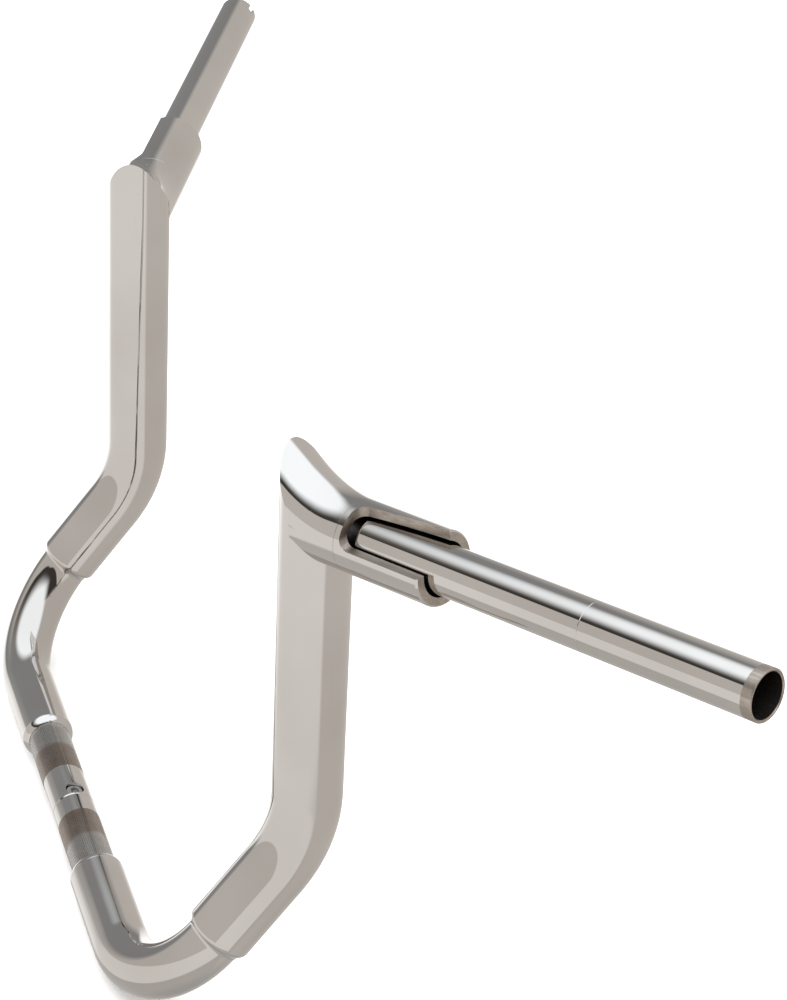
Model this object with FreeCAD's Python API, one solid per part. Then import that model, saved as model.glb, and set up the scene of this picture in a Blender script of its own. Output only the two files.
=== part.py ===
# Touring handlebar with pointed risers, welded up from tubes and built in two halves.
# Frame: X along the clamped centre bar (rider's right is +X), +Y forward, +Z up.
# Origin: on the centre bar's axis, midway between the two knurled bands.
# All sizes in millimetres; every node is written in its place in the assembly.
import FreeCAD, Part
import math
import os
from FreeCAD import Vector

# ---------------------------------------------------------------- sizes
# standard tube sizes, as radii
CLAMP_R = 25.4 / 2            # one inch centre bar, held in the riser clamps
TUBE_STEP = 6.35 / 2          # each tube outwards from it is a quarter inch larger across
BEND_R = CLAMP_R + TUBE_STEP  # inch and a quarter lower bends
RISER_R = BEND_R + TUBE_STEP  # inch and a half risers
GRIP_R = 25.4 / 2             # one inch hand tubes
WIRE_ROOM = 1.5               # between the hand tube and its collar's bore, for switch wires
COLLAR_WALL = 5.15            # turned collars around the inner end of the hand tubes
COLLAR_BORE_R = GRIP_R + WIRE_ROOM
COLLAR_R = COLLAR_BORE_R + COLLAR_WALL

GRIP_WALL = 1.65              # thin wall of the hand tubes
CLAMP_WALL = 3.2              # the centre tubes are heavier, an eighth of an inch
TELESCOPE_GAP = 0.05          # brazing gap between telescoped tubes

# centre line of one half
BASE_HALF = 198.8             # centre to the lower bend's corner
LEG_LEN = 139.7               # lower corner to riser corner
LEG_RISE_DEG = 48.5           # the leg climbs backwards at this angle
RISER_LEN = 191.9             # riser corner to the hand tube's axis
RISER_IN_DEG = 1.2            # risers lean towards each other
RISER_BACK_DEG = 3.1          # and towards the rider
GRIP_LEN = 277.0              # riser axis to the open end of the hand tube
GRIP_BACK_DEG = 28.0          # hand tubes sweep back
GRIP_UP_DEG = 5.8             # and climb a little

LOWER_BEND_RAD = 64.0
RISER_BEND_RAD = 78.0
TELESCOPE_LEN = 22.0          # hidden overlap of telescoped tubes

# centre joint
SEAM_X = -7.4                 # where the two centre tubes meet
SHOULDER_X = 68.5             # small end of the weld ring on the centre tube
SHOULDER_RING_LEN = 6.0
KNURL_IN_X = 23.0             # inner end of each knurled band
KNURL_RISE = 0.2              # rolled lands stand above the drawn tube
KNURL_DEPTH = 0.35
KNURL_LAND = 0.45             # share of the pitch that stays land
KNURL_TEETH = 72
SEAM_CHAMFER = 0.6
SPIGOT_GAP = 0.05             # slip fit of the joining plug and its screw
SPIGOT_LEFT_LEN = 38.0        # plug length on either side of the seam
SPIGOT_RIGHT_LEN = 32.0
SCREW_X = -1.4
SCREW_TILT_DEG = 12.0         # the screw leans back from straight up
SCREW_HOLE_R = 5.5
SCREW_HEAD_R = 5.0
SCREW_HEAD_LEN = 6.0
SCREW_SHANK_R = 3.0
SCREW_LEN = 12.0
SCREW_SOCKET_AF = 5.0
SCREW_SOCKET_DEPTH = 3.0
SCREW_SEAT_UP = 4.6           # head underside above the bar's axis
SCREW_TIP_GAP = 1.0           # the drilling goes this much deeper than the screw
SCREW_EDGE = 0.5              # chamfer on the screw's head

# weld ring between the lower bend and the riser
LEG_RING_AT = 60.0            # its thin end, measured from the lower corner
LEG_RING_LEN = 6.0
RING_EASE = 0.2               # room inside the ring for the end of the bend
RING_TOE = 0.25               # height of a weld ring's thin end

# pointed top and collar, measured along the hand tube's axis from the riser axis
TOP_BELOW = 34.0              # the top piece starts this far below the hand tube's axis
TOP_WALL = 3.2
SWEEP_START = 31.0            # where the saddle's sweep starts, also the collar's root seam
SWEEP_RAD = 61.0              # hollow curve of the saddle
SWEEP_DEG = 53.0              # the hollow curve turns this far, then rolls over into the tip
TIP_ROUND = 4.0               # radius of the roll-over
COLLAR_END = 87.2
COLLAR_EDGE = 1.0
WINDOW_START = 34.6           # both wiring windows run from here to the collar's open end
WINDOW_LEVEL = 2.4            # each window's straight edge is milled this far off the axis
LEFT_WINDOW_BACK = 5.6        # the slanted edge's distance behind the axis, at the open end
LEFT_WINDOW_SLANT_DEG = 8.2   # it closes towards the root
RIGHT_WINDOW_TURN_DEG = 13.0  # the right window is turned forward and down by this much
RIGHT_WINDOW_LOW = 12.0       # its slanted edge's distance below the axis, at the open end
RIGHT_WINDOW_SLANT_DEG = 9.7
WINDOW_CORNER = 6.0

# carrier between collar root and hand tube
CARRIER_LEN = 8.0
CARRIER_NECK_R = 7.5
CARRIER_PLUG_LEN = 24.0
PLUG_SEAT = 0.25              # the hand tube is bored out by this much where the plug sits
GRIP_START = 38.5             # inner end of the hand tube
WIRE_PASS_FWD = 8.5           # the disc is cut flat this far ahead of the axis, for wires
GRIP_LIP = 1.2                # small bevel at the hand tube's inner end
END_CHAMFER = 0.5
NOTCH_WIDTH = 4.0             # throttle side only: slot in the open end
NOTCH_DEPTH = 6.0
NOTCH_DEG = -60.0             # turned back from straight up

CLEAR = 5.0                   # how far cutting blocks stand proud of what they cut
STOCK = 120.0                 # working length of blocks that are trimmed away


# ---------------------------------------------------------------- helpers
def unit(v):
    return v * (1.0 / v.Length)


def rod(start, way, radius, length):
    return Part.makeCylinder(radius, length, start, way)


def outline(points):
    """A flat face with straight edges."""
    return Part.Face(Part.makePolygon(points + points[:1]))


def rounded_path(points, radius):
    """Straight, bend, straight: the centre line through three points."""
    first, corner, last = points
    back = unit(first - corner)
    on = unit(last - corner)
    half = math.acos(back.dot(on)) / 2
    run = radius / math.tan(half)
    middle = unit(back + on)
    centre = corner + middle * (radius / math.sin(half))
    leave = corner + back * run
    join = corner + on * run
    top = centre - middle * radius
    arc = Part.Arc(leave, top, join).toShape()
    return Part.Wire([Part.makeLine(first, leave), arc, Part.makeLine(join, last)])


def swept(points, bend_radius, radius):
    path = rounded_path(points, bend_radius)
    way = unit(points[1] - points[0])
    ring = Part.Wire(Part.makeCircle(radius, points[0], way))
    return path.makePipeShell([ring], True, True)


def bent_pipe(points, bend_radius, outer, inner):
    return swept(points, bend_radius, outer).cut(swept(points, bend_radius, inner))


def turned(profile, start, way):
    """Revolves a closed profile of (along, out) edges around the line start + way."""
    side = way.cross(Vector(0, 0, 1))
    if side.Length < 0.1:
        side = way.cross(Vector(0, 1, 0))
    side = unit(side)

    def at(p):
        return start + way * p[0] + side * p[1]

    edges = []
    for item in profile:
        if len(item) == 2:
            edges.append(Part.makeLine(at(item[0]), at(item[1])))
        else:
            edges.append(Part.Arc(at(item[0]), at(item[1]), at(item[2])).toShape())
    face = Part.Face(Part.Wire(edges))
    return face.revolve(start, way, 360)


def mirrored(shape):
    return shape.mirror(Vector(0, 0, 0), Vector(1, 0, 0))


# ---------------------------------------------------------------- centre line of the right half
def directions():
    leg_rise = math.radians(LEG_RISE_DEG)
    leg = Vector(0, -math.cos(leg_rise), math.sin(leg_rise))
    inward = math.sin(math.radians(RISER_IN_DEG))
    back = math.sin(math.radians(RISER_BACK_DEG))
    riser = Vector(-inward, -back, math.sqrt(1 - inward ** 2 - back ** 2))
    sweep = math.radians(GRIP_BACK_DEG)
    climb = math.radians(GRIP_UP_DEG)
    level = math.cos(climb)
    hand = Vector(level * math.cos(sweep), -level * math.sin(sweep), math.sin(climb))
    return leg, riser, hand


OUT = Vector(1, 0, 0)
LEG, RISER, HAND = directions()
CORNER = Vector(BASE_HALF, 0, 0)
KNEE = CORNER + LEG * LEG_LEN
HEAD = KNEE + RISER * RISER_LEN
# cross directions of the hand tube: LEVEL_FWD is level and forward, HAND_UP the other one
LEVEL_FWD = unit(Vector(-HAND.y, HAND.x, 0))
HAND_UP = unit(HAND.cross(LEVEL_FWD))
# the saddle's plane holds the riser and the hand tube
SADDLE_UP = unit(RISER - HAND * RISER.dot(HAND))
SADDLE_SIDE = unit(HAND.cross(SADDLE_UP))


# ---------------------------------------------------------------- centre joint
def knurled_rod(start_x, length):
    """A rod with straight knurling: narrow round lands with V-grooves between them."""
    land_r = CLAMP_R + KNURL_RISE

    def at(radius, tooth):
        turn = 2 * math.pi * tooth / KNURL_TEETH
        return Vector(start_x, radius * math.cos(turn), radius * math.sin(turn))

    edges = []
    for tooth in range(KNURL_TEETH):
        begin = at(land_r, tooth)
        end = at(land_r, tooth + KNURL_LAND)
        root = at(land_r - KNURL_DEPTH, tooth + (1 + KNURL_LAND) / 2)
        edges.append(Part.Arc(begin, at(land_r, tooth + KNURL_LAND / 2), end).toShape())
        edges.append(Part.makeLine(end, root))
        edges.append(Part.makeLine(root, at(land_r, tooth + 1)))
    return Part.Face(Part.Wire(edges)).extrude(OUT * length)


def clamp_tube():
    """Right centre tube, from the shoulder's hidden end to the seam, with its knurled band."""
    end_x = SHOULDER_X + SHOULDER_RING_LEN + TELESCOPE_LEN
    inner = CLAMP_R - CLAMP_WALL
    plain = rod(Vector(0, 0, 0), OUT, CLAMP_R, KNURL_IN_X)
    hidden = rod(Vector(SHOULDER_X, 0, 0), OUT, CLAMP_R, end_x - SHOULDER_X)
    band = knurled_rod(KNURL_IN_X, SHOULDER_X - KNURL_IN_X)
    body = plain.fuse([band, hidden])
    return body.cut(rod(Vector(0, 0, 0), OUT, inner, end_x))


def seam_side(tube, reach):
    """Adds the plain stretch between the middle and the seam, chamfered at the seam."""
    inner = CLAMP_R - CLAMP_WALL
    length = abs(reach)
    way = OUT * (1 if reach > 0 else -1)
    c = SEAM_CHAMFER
    profile = [((0, inner), (length, inner)),
               ((length, inner), (length, CLAMP_R - c)),
               ((length, CLAMP_R - c), (length - c, CLAMP_R)),
               ((length - c, CLAMP_R), (0, CLAMP_R)),
               ((0, CLAMP_R), (0, inner))]
    return tube.fuse(turned(profile, Vector(0, 0, 0), way)).removeSplitter()


def screw_way():
    tilt = math.radians(SCREW_TILT_DEG)
    return Vector(0, -math.sin(tilt), math.cos(tilt))


def screw_point(height):
    return Vector(SCREW_X, 0, 0) + screw_way() * height


def right_clamp_tube():
    whole = seam_side(clamp_tube(), SEAM_X)
    return whole.cut(rod(screw_point(0), screw_way(), SCREW_HOLE_R, CLAMP_R + CLEAR))


def left_clamp_tube():
    """The mirrored tube, cut back to the seam and chamfered there."""
    whole = mirrored(clamp_tube())
    wide = CLAMP_R + CLEAR
    surplus = rod(Vector(SEAM_X, 0, 0), OUT, wide, -SEAM_X)
    c = SEAM_CHAMFER
    bevel = turned([((0, CLAMP_R - c), (0, wide)), ((0, wide), (c, wide)),
                    ((c, wide), (c, CLAMP_R)), ((c, CLAMP_R), (0, CLAMP_R - c))],
                   Vector(SEAM_X, 0, 0), OUT * -1)
    return whole.cut(surplus).cut(bevel)


def centre_spigot():
    """Solid plug fixed in the left tube; the right tube slides over it and is screwed down."""
    radius = CLAMP_R - CLAMP_WALL - SPIGOT_GAP
    start = Vector(SEAM_X - SPIGOT_LEFT_LEN, 0, 0)
    plug = rod(start, OUT, radius, SPIGOT_LEFT_LEN + SPIGOT_RIGHT_LEN)
    spot = rod(screw_point(SCREW_SEAT_UP), screw_way(), SCREW_HOLE_R, CLAMP_R)
    drilled = SCREW_LEN + SCREW_TIP_GAP
    thread = rod(screw_point(SCREW_SEAT_UP - drilled), screw_way(), SCREW_SHANK_R + SPIGOT_GAP, drilled)
    return plug.cut(spot.fuse(thread))


def centre_screw():
    """Socket-head screw: a straight head with a hexagon in it, and a plain shank."""
    head = rod(screw_point(SCREW_SEAT_UP), screw_way(), SCREW_HEAD_R, SCREW_HEAD_LEN)
    shank = rod(screw_point(SCREW_SEAT_UP - SCREW_LEN), screw_way(), SCREW_SHANK_R, SCREW_LEN)
    across = OUT.cross(screw_way())
    reach = SCREW_SOCKET_AF / 2 / math.cos(math.radians(30))
    floor = screw_point(SCREW_SEAT_UP + SCREW_HEAD_LEN - SCREW_SOCKET_DEPTH)
    corners = []
    for corner in range(6):
        turn = math.radians(60 * corner)
        corners.append(floor + (OUT * math.cos(turn) + across * math.sin(turn)) * reach)
    socket = outline(corners).extrude(screw_way() * SCREW_SOCKET_DEPTH)
    top = SCREW_SEAT_UP + SCREW_HEAD_LEN
    rim = [e for e in head.Edges if abs(e.CenterOfMass.dot(screw_way()) - top) < 0.01]
    return head.makeChamfer(SCREW_EDGE, rim).fuse(shank).cut(socket)


# ---------------------------------------------------------------- lower tubes
def shoulder_ring():
    """Rounded weld that carries the centre tube's size up to the lower bend's."""
    inner = CLAMP_R + TELESCOPE_GAP
    low = CLAMP_R + RING_TOE
    length = SHOULDER_RING_LEN
    mid = (length * 0.35, BEND_R - (BEND_R - low) * 0.28)
    profile = [((0, inner), (0, low)), ((0, low), mid, (length, BEND_R)),
               ((length, BEND_R), (length, inner)), ((length, inner), (0, inner))]
    return turned(profile, Vector(SHOULDER_X, 0, 0), OUT)


def lower_bend():
    start = Vector(SHOULDER_X + SHOULDER_RING_LEN, 0, 0)
    end = CORNER + LEG * (LEG_RING_AT + LEG_RING_LEN + TELESCOPE_LEN)
    inner = CLAMP_R + TELESCOPE_GAP
    return bent_pipe([start, CORNER, end], LOWER_BEND_RAD, BEND_R, inner)


def leg_ring():
    """Ground weld between the lower bend and the riser: an even double curve."""
    inner = BEND_R + RING_EASE
    low = inner + RING_TOE
    length = LEG_RING_LEN
    rise = RISER_R - low
    bulge = (length ** 2 + rise ** 2) / (4 * rise)
    turn = math.asin(length / 2 / bulge) / 2
    sag = bulge * (1 - math.cos(turn))
    run = bulge * math.sin(turn)
    half = (length / 2, low + rise / 2)
    profile = [((0, inner), (0, low)), ((0, low), (run, low + sag), half),
               (half, (length - run, RISER_R - sag), (length, RISER_R)),
               ((length, RISER_R), (length, inner)), ((length, inner), (0, inner))]
    return turned(profile, CORNER + LEG * LEG_RING_AT, LEG)


def riser_tube():
    start = CORNER + LEG * (LEG_RING_AT + LEG_RING_LEN)
    end = HEAD - RISER * TOP_BELOW
    return bent_pipe([start, KNEE, end], RISER_BEND_RAD, RISER_R, BEND_R + TELESCOPE_GAP)


# ---------------------------------------------------------------- pointed top
def in_saddle(origin, side, up, out=0.0):
    return origin + SADDLE_SIDE * side + SADDLE_UP * up + HAND * out


def saddle_block(inset):
    """All the metal under the saddle: hollow curve up from the collar, then the rolled tip.

    The crosswise outline is the collar's own half circle, so the saddle runs out of the collar
    without a step. The inset draws the same shape smaller, for the hollow inside.
    """
    nose = COLLAR_R - inset
    tip = TIP_ROUND - inset
    wide = nose + CLEAR
    root = HEAD + HAND * SWEEP_START
    pivot = in_saddle(root, 0, SWEEP_RAD + COLLAR_R)
    arch = Part.Arc(in_saddle(root, -nose, 0), in_saddle(root, 0, nose), in_saddle(root, nose, 0))
    sides = [in_saddle(root, nose, 0), in_saddle(root, wide, 0), in_saddle(root, wide, -STOCK),
             in_saddle(root, -wide, -STOCK), in_saddle(root, -wide, 0), in_saddle(root, -nose, 0)]
    lines = [Part.makeLine(a, b) for a, b in zip(sides, sides[1:])]
    hollow_curve = Part.Face(Part.Wire([arch.toShape()] + lines)).revolve(pivot, SADDLE_SIDE * -1, SWEEP_DEG)

    turn = math.radians(SWEEP_DEG)
    crest_way = HAND * math.sin(turn) + SADDLE_UP * math.cos(turn)
    crest = pivot - crest_way * (SWEEP_RAD + inset)
    centre = crest - crest_way * tip
    half = math.sqrt(nose ** 2 - (nose - tip) ** 2)
    ends = [centre - SADDLE_SIDE * half, centre + SADDLE_SIDE * half]
    roll = Part.Face(Part.Wire([Part.Arc(ends[0], crest, ends[1]).toShape(), Part.makeLine(ends[1], ends[0])]))
    rolled_tip = roll.revolve(centre, SADDLE_SIDE * -1, SWEEP_DEG + 90)

    below = [in_saddle(centre, -wide, 0), in_saddle(centre, wide, 0),
             in_saddle(centre, wide, -STOCK), in_saddle(centre, -wide, -STOCK)]
    return hollow_curve.fuse([rolled_tip, outline(below).extrude(HAND * -STOCK)])


def top_outline(inset, below):
    """Riser stub cut to the saddle, joined to the round neck that ends at the collar's root."""
    post = rod(HEAD - RISER * below, RISER, RISER_R - inset, below + STOCK)
    root = HEAD + HAND * SWEEP_START
    neck_r = COLLAR_R - inset
    disc = Part.Face(Part.Wire(Part.makeCircle(neck_r, root, HAND)))
    pivot = in_saddle(root, 0, SWEEP_RAD + COLLAR_R)
    neck = disc.revolve(pivot, SADDLE_SIDE * -1, SWEEP_DEG)
    corners = [in_saddle(HEAD, -STOCK, -STOCK), in_saddle(HEAD, STOCK, -STOCK),
               in_saddle(HEAD, STOCK, STOCK), in_saddle(HEAD, -STOCK, STOCK)]
    outboard = outline(corners).extrude(HAND * STOCK)
    stub = rod(HEAD, HAND, neck_r, SWEEP_START)
    return post.common(saddle_block(inset)).fuse([neck.common(outboard), stub])


def pointed_top():
    """Hollow top: riser end, saddle with its tip, and the neck for the collar."""
    hollow = top_outline(TOP_WALL, TOP_BELOW + CLEAR)
    mouth = rod(HEAD, HAND, COLLAR_BORE_R, SWEEP_START)
    return top_outline(0, TOP_BELOW).cut(hollow).cut(mouth)


# ---------------------------------------------------------------- collar, carrier and hand tube
def along(distance, fwd=0.0, up=0.0):
    return HEAD + HAND * distance + LEVEL_FWD * fwd + HAND_UP * up


def window_cutter(slant_way, level_way, slant_back, slant_deg):
    """Quadrant milled out of a collar, open at the outboard end: one edge straight, one slanted."""
    far = COLLAR_END + CLEAR
    wide = COLLAR_R + CLEAR
    slope = math.tan(math.radians(slant_deg))
    start_edge = (COLLAR_END - WINDOW_START) * slope - slant_back
    far_edge = (COLLAR_END - far) * slope - slant_back

    def at(distance, slant):
        return along(distance) + slant_way * slant + level_way * WINDOW_LEVEL

    corners = [at(WINDOW_START, start_edge), at(far, far_edge), at(far, wide), at(WINDOW_START, wide)]
    block = outline(corners).extrude(level_way * wide)
    rounded = []
    for edge in block.Edges:
        ends = [v.Point - HEAD for v in edge.Vertexes]
        at_start = all(abs(e.dot(HAND) - WINDOW_START) < 0.01 for e in ends)
        at_floor = all(abs(e.dot(level_way) - WINDOW_LEVEL) < 0.01 for e in ends)
        at_slant = all(abs(e.dot(slant_way) - start_edge) < 0.01 for e in ends)
        if at_start and (at_floor or at_slant):
            rounded.append(edge)
    return block.makeFillet(WINDOW_CORNER, rounded)


def left_window():
    """Opens above and in front: the slanted edge lies behind, the straight one in front."""
    return window_cutter(LEVEL_FWD, HAND_UP, LEFT_WINDOW_BACK, LEFT_WINDOW_SLANT_DEG)


def right_window():
    """Opens in front and below: the straight edge lies on top, the slanted one underneath."""
    turn = math.radians(RIGHT_WINDOW_TURN_DEG)
    high = HAND_UP * math.cos(turn) + LEVEL_FWD * math.sin(turn)
    front = LEVEL_FWD * math.cos(turn) - HAND_UP * math.sin(turn)
    return window_cutter(high, front, RIGHT_WINDOW_LOW, RIGHT_WINDOW_SLANT_DEG)


def collar(window):
    """Turned sleeve welded to the pointed top, with its wiring window milled out."""
    length = COLLAR_END - SWEEP_START
    c = COLLAR_EDGE
    profile = [((0, COLLAR_BORE_R), (length, COLLAR_BORE_R)), ((length, COLLAR_BORE_R), (length, COLLAR_R - c)),
               ((length, COLLAR_R - c), (length - c, COLLAR_R)), ((length - c, COLLAR_R), (0, COLLAR_R)),
               ((0, COLLAR_R), (0, COLLAR_BORE_R))]
    return turned(profile, along(SWEEP_START), HAND).cut(window)


def grip_carrier():
    """Disc welded in the collar's root, with a neck and a plug that hold the hand tube."""
    start = SWEEP_START - CARRIER_LEN
    disc = rod(along(start), HAND, COLLAR_BORE_R - TELESCOPE_GAP, CARRIER_LEN)
    wire_pass = outline([along(start, WIRE_PASS_FWD, -COLLAR_R), along(start, COLLAR_R, -COLLAR_R),
                         along(start, COLLAR_R, COLLAR_R), along(start, WIRE_PASS_FWD, COLLAR_R)])
    neck = rod(along(SWEEP_START), HAND, CARRIER_NECK_R, GRIP_START - SWEEP_START)
    plug_r = GRIP_R - GRIP_WALL + PLUG_SEAT - TELESCOPE_GAP
    plug = rod(along(GRIP_START), HAND, plug_r, CARRIER_PLUG_LEN)
    end = GRIP_START + CARRIER_PLUG_LEN
    rim = [e for e in plug.Edges if abs((e.CenterOfMass - HEAD).dot(HAND) - end) < 0.01]
    body = disc.cut(wire_pass.extrude(HAND * CARRIER_LEN))
    return body.fuse([neck, plug.makeChamfer(END_CHAMFER, rim)]).removeSplitter()


def end_notch():
    """Slot across the wall of the throttle side's open end."""
    turn = math.radians(NOTCH_DEG)
    way = HAND_UP * math.cos(turn) + LEVEL_FWD * math.sin(turn)
    across = unit(HAND.cross(way)) * (NOTCH_WIDTH / 2)
    foot = along(GRIP_LEN - NOTCH_DEPTH)
    lip = along(GRIP_LEN + CLEAR)
    slot = outline([foot - across, foot + across, lip + across, lip - across])
    return slot.extrude(way * (GRIP_R + CLEAR))


def grip_tube():
    """One inch hand tube, open at the outer end."""
    length = GRIP_LEN - GRIP_START
    inner = GRIP_R - GRIP_WALL
    seat = inner + PLUG_SEAT
    c = END_CHAMFER
    n = GRIP_LIP
    profile = [((0, seat), (CARRIER_PLUG_LEN, seat)), ((CARRIER_PLUG_LEN, seat), (CARRIER_PLUG_LEN, inner)),
               ((CARRIER_PLUG_LEN, inner), (length - c, inner)), ((length - c, inner), (length, inner + c)),
               ((length, inner + c), (length, GRIP_R - c)), ((length, GRIP_R - c), (length - c, GRIP_R)),
               ((length - c, GRIP_R), (n, GRIP_R)), ((n, GRIP_R), (0, GRIP_R - n)), ((0, GRIP_R - n), (0, seat))]
    return turned(profile, along(GRIP_START), HAND)


# ---------------------------------------------------------------- writing the nodes
def nodes():
    built = {"right_clamp_tube": right_clamp_tube(), "left_clamp_tube": left_clamp_tube(),
             "centre_spigot": centre_spigot(), "centre_screw": centre_screw()}
    halves = {"shoulder_ring": shoulder_ring(), "lower_bend": lower_bend(), "leg_ring": leg_ring(),
              "riser_tube": riser_tube(), "pointed_top": pointed_top(), "grip_carrier": grip_carrier()}
    for name, shape in halves.items():
        built["right_" + name] = shape
        built["left_" + name] = mirrored(shape)
    built["right_collar"] = collar(right_window())
    built["left_collar"] = mirrored(collar(left_window()))
    built["right_grip_tube"] = grip_tube().cut(end_notch())
    built["left_grip_tube"] = mirrored(grip_tube())
    return built


os.makedirs("parts", exist_ok=True)
for node, solid in nodes().items():
    solid.exportStep("parts/" + node + ".step")
    print(node, len(solid.Solids), round(solid.Volume / 1000, 2))
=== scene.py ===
# %% [markdown]
# # A chrome touring handlebar with pointed risers
#
# The bar is welded up from three sizes of steel tube, in two mirrored halves that meet near the
# middle, and it is chrome plated all over. Its shape is known from the packed frame: every solid
# sits in one shared frame, in metres, with X along the clamped middle (the rider's right is +X),
# Y forward and Z up. This lesson dresses that frame for a portrait. Tubes that the eye follows for
# a long way are drawn again with finer facets, the turned and milled parts get their machined
# faces, and the rest of the solids keep their shape and only get a better finish.

# %% Load the frame
import bpy
import bmesh
import math
from mathutils import Matrix, Vector


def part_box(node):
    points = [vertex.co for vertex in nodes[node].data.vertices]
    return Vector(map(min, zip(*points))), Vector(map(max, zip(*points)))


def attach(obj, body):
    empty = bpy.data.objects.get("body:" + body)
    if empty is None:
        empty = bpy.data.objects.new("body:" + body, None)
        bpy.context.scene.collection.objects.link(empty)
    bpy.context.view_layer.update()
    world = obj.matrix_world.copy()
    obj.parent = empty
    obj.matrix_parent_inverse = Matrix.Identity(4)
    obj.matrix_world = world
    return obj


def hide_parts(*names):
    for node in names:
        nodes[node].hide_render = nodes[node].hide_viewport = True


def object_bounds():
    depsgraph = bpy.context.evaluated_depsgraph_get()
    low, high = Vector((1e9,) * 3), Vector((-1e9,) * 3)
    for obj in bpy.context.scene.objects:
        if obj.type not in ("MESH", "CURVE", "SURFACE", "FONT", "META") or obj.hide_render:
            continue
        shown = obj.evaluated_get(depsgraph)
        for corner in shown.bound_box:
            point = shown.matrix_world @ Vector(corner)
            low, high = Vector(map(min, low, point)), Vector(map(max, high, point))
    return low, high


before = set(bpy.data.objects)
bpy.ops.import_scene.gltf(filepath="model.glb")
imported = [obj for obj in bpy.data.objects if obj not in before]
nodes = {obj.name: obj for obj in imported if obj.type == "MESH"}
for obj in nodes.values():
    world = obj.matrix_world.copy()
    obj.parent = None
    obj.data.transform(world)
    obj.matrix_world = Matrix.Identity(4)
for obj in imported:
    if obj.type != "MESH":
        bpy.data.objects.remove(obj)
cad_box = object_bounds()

MM = 0.001
print("solids in the frame:", len(nodes))
print("box in mm:", [[round(c / MM, 1) for c in corner] for corner in cad_box])

# %% [markdown]
# ## The bar's own sizes
#
# A handlebar is easiest to think of as a centre line with tubes of different sizes strung on it.
# Each half runs sideways from the middle, turns up and back through the lower bend, turns again at
# the knee to stand almost upright, and ends at the head, where the hand tube leaves it sideways
# and backwards. The same lengths and angles as in the solids are kept here, so that a tube drawn
# here lies exactly on the one it stands for. Every piece is drawn for the right half, and the left
# half is its mirror image.

# %% Centre line of the right half
BASE_HALF = 198.8 * MM        # middle to the lower bend's corner
LEG_LEN = 139.7 * MM          # lower corner to knee
RISER_LEN = 191.9 * MM        # knee to the hand tube's axis
GRIP_LEN = 277.0 * MM         # riser axis to the open end of the hand tube
LOWER_BEND_RAD = 64.0 * MM
KNEE_BEND_RAD = 78.0 * MM
LEG_RISE = math.radians(48.5)
RISER_IN = math.radians(1.2)      # the risers lean towards each other
RISER_BACK = math.radians(3.1)    # and towards the rider
HAND_SWEEP = math.radians(28.0)   # the hand tubes point back
HAND_CLIMB = math.radians(5.8)    # and up a little


def unit_from(x, y):
    """A direction from its X and Y shares; the rest of it points up."""
    return Vector((x, y, math.sqrt(1 - x * x - y * y)))


LEG = Vector((0, -math.cos(LEG_RISE), math.sin(LEG_RISE)))
RISER = unit_from(-math.sin(RISER_IN), -math.sin(RISER_BACK))
HAND = Vector((math.cos(HAND_CLIMB) * math.cos(HAND_SWEEP),
               -math.cos(HAND_CLIMB) * math.sin(HAND_SWEEP),
               math.sin(HAND_CLIMB)))
FORWARD = Vector((-HAND.y, HAND.x, 0)).normalized()
UPWARD = HAND.cross(FORWARD).normalized()

CORNER = Vector((BASE_HALF, 0, 0))
KNEE = CORNER + LEG * LEG_LEN
HEAD = KNEE + RISER * RISER_LEN
print("knee", [round(c / MM, 1) for c in KNEE], "head", [round(c / MM, 1) for c in HEAD])

# %% Tube sizes
CLAMP_R = 12.7 * MM           # one inch centre bar
BEND_R = 15.875 * MM          # inch and a quarter lower bends
RISER_R = 19.05 * MM          # inch and a half risers
GRIP_R = 12.7 * MM            # one inch hand tubes
COLLAR_R = 19.35 * MM         # turned collars round the hand tubes' inner ends
COLLAR_BORE_R = 14.2 * MM
GRIP_WALL = 1.65 * MM
GAP = 0.05 * MM               # brazing gap between telescoped tubes
print("tubes in mm:", [round(2 * r / MM, 2) for r in (CLAMP_R, BEND_R, RISER_R, GRIP_R)])

# %% [markdown]
# ## Writing shader sums as plain sums
#
# A procedural finish is mostly arithmetic on values that vary over the surface. Placing Math nodes
# by hand hides that arithmetic, so a small class wraps a node's socket and gives it the usual
# operators. An expression such as `1 - dust * 0.3` then adds the nodes it needs.

# %% A socket that can be reckoned with
class Value:
    """One output socket of a node tree, with arithmetic."""

    def __init__(self, tree, socket):
        self.tree = tree
        self.socket = socket

    def math(self, operation, *others, swap=False):
        values = [*others, self] if swap else [self, *others]
        return self.tree.node("ShaderNodeMath", {"operation": operation}, values)

    def __add__(self, other):
        return self.math("ADD", other)

    def __sub__(self, other):
        return self.math("SUBTRACT", other)

    def __rsub__(self, other):
        return self.math("SUBTRACT", other, swap=True)

    def __mul__(self, other):
        return self.math("MULTIPLY", other)

    def __truediv__(self, other):
        return self.math("DIVIDE", other)

    __radd__ = __add__
    __rmul__ = __mul__

    def step(self, low, high):
        """0 below low, 1 above high, smooth between; it falls instead when high is the smaller."""
        return self.tree.node("ShaderNodeMapRange", {"interpolation_type": "SMOOTHSTEP"},
                              {"Value": self, "From Min": low, "From Max": high})


print("Value:", Value.__doc__)

# %% [markdown]
# Every other kind of node comes from one method, `node`, of the tree itself. It sets the node's
# settings first, because some of them change which sockets there are, and then fills its sockets
# with plain values or links. A Mix node keeps sockets for numbers, vectors and colours side by
# side, so its colour sockets are known by their place.

# %% A tree that takes nodes by name
MIX_FACTOR, MIX_FIRST, MIX_SECOND, MIX_RESULT = 0, 6, 7, 2


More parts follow.
